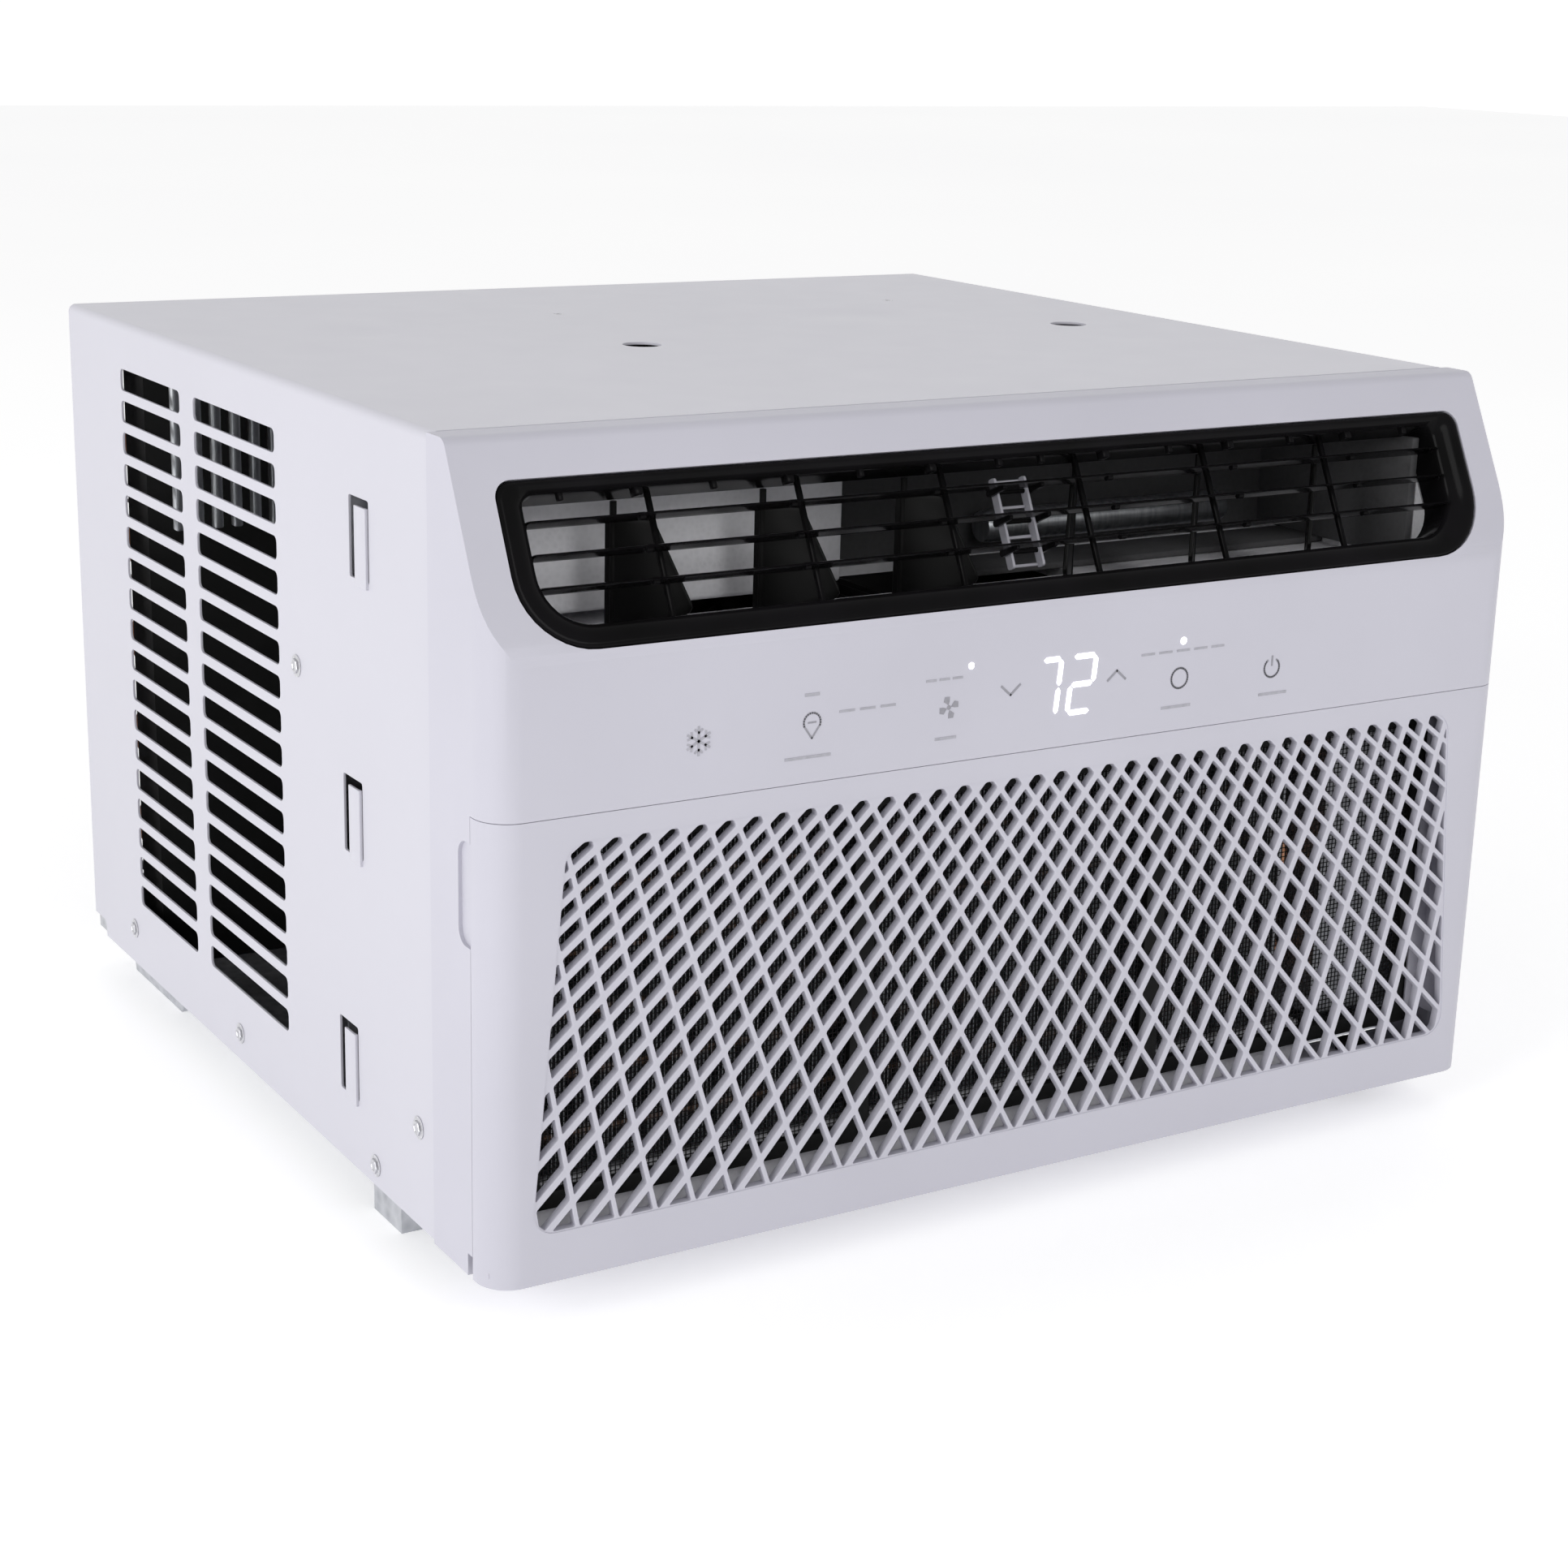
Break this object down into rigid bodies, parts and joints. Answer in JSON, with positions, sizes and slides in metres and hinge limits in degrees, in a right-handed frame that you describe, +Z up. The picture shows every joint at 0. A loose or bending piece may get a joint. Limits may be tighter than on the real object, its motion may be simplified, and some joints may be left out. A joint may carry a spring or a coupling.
{
  "type": "window air conditioner",
  "caption": "Window air conditioner: slotted steel cabinet, front with sloped louvred discharge, touch fascia and hinged diamond-lattice intake grille.",
  "frame": {"origin": "on the surface the unit stands on, under the middle of its overall box", "axes": "+Z up, -Y towards the room (the front), +X to the right of a person who faces the front's back, so +X is the right-hand side seen from the front"},
  "size_m": [0.48, 0.46, 0.325],
  "materials": {
    "body_plastic": "satin moulded, light grey white",
    "painted_steel": "satin powder coat",
    "zinc_steel": "galvanised",
    "screw_steel": "zinc plated",
    "gloss_black": "glossy black",
    "dark_plastic": "matt",
    "foam": "expanded foam",
    "coil_fins": "thin fins on copper tube",
    "copper": "drawn tube, slightly tarnished",
    "compressor_paint": "gloss black enamel",
    "rubber": "matt",
    "board": "solder mask",
    "display_light": "white light through the fascia",
    "print_grey": "printed marks",
    "mesh": "woven filter net"
  },
  "bodies": {
    "root": {"cabinet": "painted_steel", "base_pan": "painted_steel", "bottom_rail": "painted_steel", "side_screw_left_1": "screw_steel", "side_screw_left_2": "screw_steel", "side_screw_left_3": "screw_steel", "side_screw_left_4": "screw_steel", "side_screw_left_5": "screw_steel", "side_screw_right_1": "screw_steel", "side_screw_right_2": "screw_steel", "side_screw_right_3": "screw_steel", "side_screw_right_4": "screw_steel", "side_screw_right_5": "screw_steel", "top_screw_1": "screw_steel", "top_screw_2": "screw_steel", "front_frame": "body_plastic", "cord_gland": "rubber", "compressor_grommet_1": "rubber", "compressor_grommet_2": "rubber", "compressor_grommet_3": "rubber", "display_housing": "dark_plastic", "blower_scroll": "dark_plastic", "display_board": "board", "control_board": "board", "digit_module": "display_light", "discharge_frame": "gloss_black", "air_duct": "foam", "drain_tray": "foam", "evaporator_coil": "coil_fins", "condenser_coil": "coil_fins", "bulkhead": "zinc_steel", "control_box": "zinc_steel", "fan_motor": "zinc_steel", "motor_bracket": "zinc_steel", "fan_shroud": "zinc_steel", "run_capacitor": "zinc_steel", "rear_guard": "zinc_steel", "compressor": "compressor_paint", "accumulator": "copper", "suction_pipe": "copper", "discharge_pipe": "copper", "capillary_line": "copper"},
    "rotor": {"motor_shaft": "zinc_steel", "blower_wheel": "dark_plastic", "condenser_fan": "dark_plastic"},
    "grille": {"intake_grille": "body_plastic"},
    "filter": {"filter_frame": "dark_plastic", "filter_mesh": "mesh"},
    "louvre_1": {"louvre_blade_1": "gloss_black"},
    "louvre_2": {"louvre_blade_2": "gloss_black"},
    "louvre_3": {"louvre_blade_3": "gloss_black"},
    "louvre_link": {"louvre_link": "gloss_black"},
    "vane_left_1": {"vane_left_1": "gloss_black"},
    "vane_left_2": {"vane_left_2": "gloss_black"},
    "vane_left_3": {"vane_left_3": "gloss_black"},
    "vane_link_left": {"vane_link_left": "gloss_black"},
    "vane_right_1": {"vane_right_1": "gloss_black"},
    "vane_right_2": {"vane_right_2": "gloss_black"},
    "vane_right_3": {"vane_right_3": "gloss_black"},
    "vane_link_right": {"vane_link_right": "gloss_black"}
  },
  "joints": [
    {"name": "fan_rotor", "type": "hinge", "parent": "root", "child": "rotor", "pos_m": [-0.04, 0, 0.158], "axis": [0, 1, 0], "continuous": true},
    {"name": "grille_hinge", "type": "hinge", "parent": "root", "child": "grille", "pos_m": [0, -0.222, 0.023], "axis": [1, 0, 0], "range_deg": [0, 35]},
    {"name": "filter_slide", "type": "slide", "parent": "grille", "child": "filter", "axis": [0, 0, 1], "range_m": [0, 0.04]},
    {"name": "louvre_1_tilt", "type": "hinge", "parent": "root", "child": "louvre_1", "pos_m": [0, -0.2126, 0.27202], "axis": [1, 0, 0], "range_deg": [-28, 28]},
    {"name": "louvre_2_tilt", "type": "hinge", "parent": "root", "child": "louvre_2", "pos_m": [0, -0.20724, 0.28276], "axis": [1, 0, 0], "range_deg": [-28, 28]},
    {"name": "louvre_3_tilt", "type": "hinge", "parent": "root", "child": "louvre_3", "pos_m": [0, -0.20187, 0.29349], "axis": [1, 0, 0], "range_deg": [-28, 28]},
    {"name": "louvre_link_pin", "type": "hinge", "parent": "louvre_1", "child": "louvre_link", "pos_m": [0, -0.20455, 0.268], "axis": [1, 0, 0], "range_deg": [-28, 28]},
    {"name": "vane_left_1_swing", "type": "hinge", "parent": "root", "child": "vane_left_1", "pos_m": [-0.041, -0.181, 0.265], "axis": [0, 0, 1], "range_deg": [-82, 4]},
    {"name": "vane_left_2_swing", "type": "hinge", "parent": "root", "child": "vane_left_2", "pos_m": [-0.104, -0.181, 0.265], "axis": [0, 0, 1], "range_deg": [-82, 4]},
    {"name": "vane_left_3_swing", "type": "hinge", "parent": "root", "child": "vane_left_3", "pos_m": [-0.167, -0.181, 0.265], "axis": [0, 0, 1], "range_deg": [-82, 4]},
    {"name": "vane_link_left_pin", "type": "hinge", "parent": "vane_left_1", "child": "vane_link_left", "pos_m": [-0.04887, -0.17194, 0.24], "axis": [0, 0, 1], "range_deg": [-4, 82]},
    {"name": "vane_right_1_swing", "type": "hinge", "parent": "root", "child": "vane_right_1", "pos_m": [0.041, -0.181, 0.265], "axis": [0, 0, 1], "range_deg": [-4, 82]},
    {"name": "vane_right_2_swing", "type": "hinge", "parent": "root", "child": "vane_right_2", "pos_m": [0.104, -0.181, 0.265], "axis": [0, 0, 1], "range_deg": [-4, 82]},
    {"name": "vane_right_3_swing", "type": "hinge", "parent": "root", "child": "vane_right_3", "pos_m": [0.167, -0.181, 0.265], "axis": [0, 0, 1], "range_deg": [-4, 82]},
    {"name": "vane_link_right_pin", "type": "hinge", "parent": "vane_right_1", "child": "vane_link_right", "pos_m": [0.04887, -0.17194, 0.24], "axis": [0, 0, 1], "range_deg": [-82, 4]}
  ],
  "couplings": [
    {"joint": "louvre_2_tilt", "follows": "louvre_1_tilt", "ratio": 1},
    {"joint": "louvre_3_tilt", "follows": "louvre_1_tilt", "ratio": 1},
    {"joint": "louvre_link_pin", "follows": "louvre_1_tilt", "ratio": -1},
    {"joint": "vane_left_2_swing", "follows": "vane_left_1_swing", "ratio": 1},
    {"joint": "vane_left_3_swing", "follows": "vane_left_1_swing", "ratio": 1},
    {"joint": "vane_link_left_pin", "follows": "vane_left_1_swing", "ratio": -1},
    {"joint": "vane_right_2_swing", "follows": "vane_right_1_swing", "ratio": 1},
    {"joint": "vane_right_3_swing", "follows": "vane_right_1_swing", "ratio": 1},
    {"joint": "vane_link_right_pin", "follows": "vane_right_1_swing", "ratio": -1}
  ]
}
